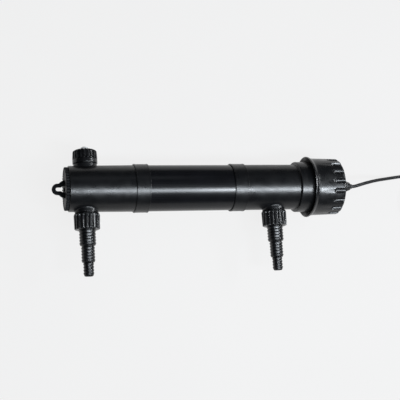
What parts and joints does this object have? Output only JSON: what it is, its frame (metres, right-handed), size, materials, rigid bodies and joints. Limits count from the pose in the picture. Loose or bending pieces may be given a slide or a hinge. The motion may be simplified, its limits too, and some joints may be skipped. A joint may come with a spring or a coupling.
{
  "type": "uv clarifier",
  "caption": "Black tubular UV water clarifier with barbed hose tails, a sight cap, wall brackets, a hanging lug and a screw-on lamp head with its cord.",
  "frame": {"origin": "bottom centre of the object's box without its cord, at the plane of the bracket feet", "axes": "+X along the tube towards the lamp head, +Y towards the sight cap, +Z away from the wall or floor"},
  "size_m": [1.0603, 0.2506, 0.1275],
  "materials": {
    "moulded_black": "fine-grained moulded black plastic",
    "satin_tube": "satin extruded black pipe",
    "glossy_black": "semi-gloss moulded black plastic",
    "rubber": "black seal rubber",
    "cord_rubber": "smooth black cord sheath",
    "lens": "milky translucent plastic",
    "quartz": "clear quartz",
    "lamp_glass": "clear lamp glass",
    "lamp_white": "white lamp base plastic",
    "steel": "plated steel"
  },
  "bodies": {
    "vessel": {"left_housing": "moulded_black", "centre_tube": "satin_tube", "right_housing": "moulded_black", "left_bracket": "moulded_black", "right_bracket": "moulded_black", "end_cap": "moulded_black", "sleeve_support": "moulded_black"},
    "left_seal": {"left_union_seal": "rubber"},
    "left_tail": {"left_hose_tail": "glossy_black"},
    "left_nut": {"left_union_nut": "glossy_black"},
    "right_seal": {"right_union_seal": "rubber"},
    "right_tail": {"right_hose_tail": "glossy_black"},
    "right_nut": {"right_union_nut": "glossy_black"},
    "sight_glass": {"sight_seal": "rubber", "sight_lens": "lens"},
    "sight_cap": {"sight_nut": "glossy_black"},
    "head_gasket": {"head_seal": "rubber"},
    "head": {"lamp_head": "moulded_black", "end_cover": "moulded_black", "cover_screw_1": "steel", "cover_screw_2": "steel", "cover_screw_3": "steel", "head_base": "moulded_black", "ballast": "moulded_black", "lamp_holder": "lamp_white", "lamp_base": "lamp_white", "lamp_tubes": "lamp_glass", "quartz_sleeve": "quartz", "gland_body": "glossy_black", "cord": "cord_rubber", "cord_coil": "cord_rubber", "cord_end": "cord_rubber", "plug_body": "cord_rubber", "plug_pin_1": "steel", "plug_pin_2": "steel"},
    "lock_ring": {"lock_ring": "glossy_black"},
    "sleeve_gasket": {"sleeve_seal": "rubber"},
    "sleeve_gland": {"sleeve_nut": "moulded_black"},
    "cord_seal": {"gland_grommet": "rubber"},
    "gland_cap": {"gland_nut": "glossy_black"}
  },
  "joints": [
    {"name": "left_union_travel", "type": "slide", "parent": "vessel", "child": "left_seal", "axis": [0, -1, 0], "range_m": [0, 0.0075]},
    {"name": "left_tail_swivel", "type": "hinge", "parent": "left_seal", "child": "left_tail", "pos_m": [-0.2418, -0.0262, 0.066], "axis": [0, -1, 0], "continuous": true},
    {"name": "left_nut_turn", "type": "hinge", "parent": "left_seal", "child": "left_nut", "pos_m": [-0.2418, -0.0262, 0.066], "axis": [0, -1, 0], "range_deg": [0, 900]},
    {"name": "right_union_travel", "type": "slide", "parent": "vessel", "child": "right_seal", "axis": [0, -1, 0], "range_m": [0, 0.0075]},
    {"name": "right_tail_swivel", "type": "hinge", "parent": "right_seal", "child": "right_tail", "pos_m": [0.1326, -0.0262, 0.066], "axis": [0, -1, 0], "continuous": true},
    {"name": "right_nut_turn", "type": "hinge", "parent": "right_seal", "child": "right_nut", "pos_m": [0.1326, -0.0262, 0.066], "axis": [0, -1, 0], "range_deg": [0, 900]},
    {"name": "sight_travel", "type": "slide", "parent": "vessel", "child": "sight_glass", "axis": [0, 1, 0], "range_m": [0, 0.0075]},
    {"name": "sight_nut_turn", "type": "hinge", "parent": "sight_glass", "child": "sight_cap", "pos_m": [-0.2418, 0.1108, 0.066], "axis": [0, 1, 0], "range_deg": [0, 900]},
    {"name": "head_pull", "type": "slide", "parent": "vessel", "child": "head_gasket", "axis": [1, 0, 0], "range_m": [0, 0.43]},
    {"name": "head_release", "type": "slide", "parent": "head_gasket", "child": "head", "axis": [1, 0, 0], "range_m": [0, 0.01]},
    {"name": "lock_ring_turn", "type": "hinge", "parent": "head", "child": "lock_ring", "pos_m": [0.2446, 0.0423, 0.066], "axis": [1, 0, 0], "range_deg": [0, 900]},
    {"name": "sleeve_nut_travel", "type": "slide", "parent": "head", "child": "sleeve_gasket", "axis": [-1, 0, 0], "range_m": [0, 0.004]},
    {"name": "sleeve_nut_turn", "type": "hinge", "parent": "sleeve_gasket", "child": "sleeve_gland", "pos_m": [0.2036, 0.0423, 0.066], "axis": [-1, 0, 0], "range_deg": [0, 720]},
    {"name": "gland_travel", "type": "slide", "parent": "head", "child": "cord_seal", "axis": [1, 0, 0], "range_m": [0, 0.003]},
    {"name": "gland_nut_turn", "type": "hinge", "parent": "cord_seal", "child": "gland_cap", "pos_m": [0.2886, 0.0423, 0.066], "axis": [1, 0, 0], "range_deg": [0, 720]}
  ],
  "couplings": [
    {"joint": "left_union_travel", "follows": "left_nut_turn", "m_per_rad": 0.00047746},
    {"joint": "right_union_travel", "follows": "right_nut_turn", "m_per_rad": 0.00047746},
    {"joint": "sight_travel", "follows": "sight_nut_turn", "m_per_rad": 0.00047746},
    {"joint": "head_release", "follows": "lock_ring_turn", "m_per_rad": 0.00063661},
    {"joint": "sleeve_nut_travel", "follows": "sleeve_nut_turn", "m_per_rad": 0.00031831},
    {"joint": "gland_travel", "follows": "gland_nut_turn", "m_per_rad": 0.00023873}
  ]
}
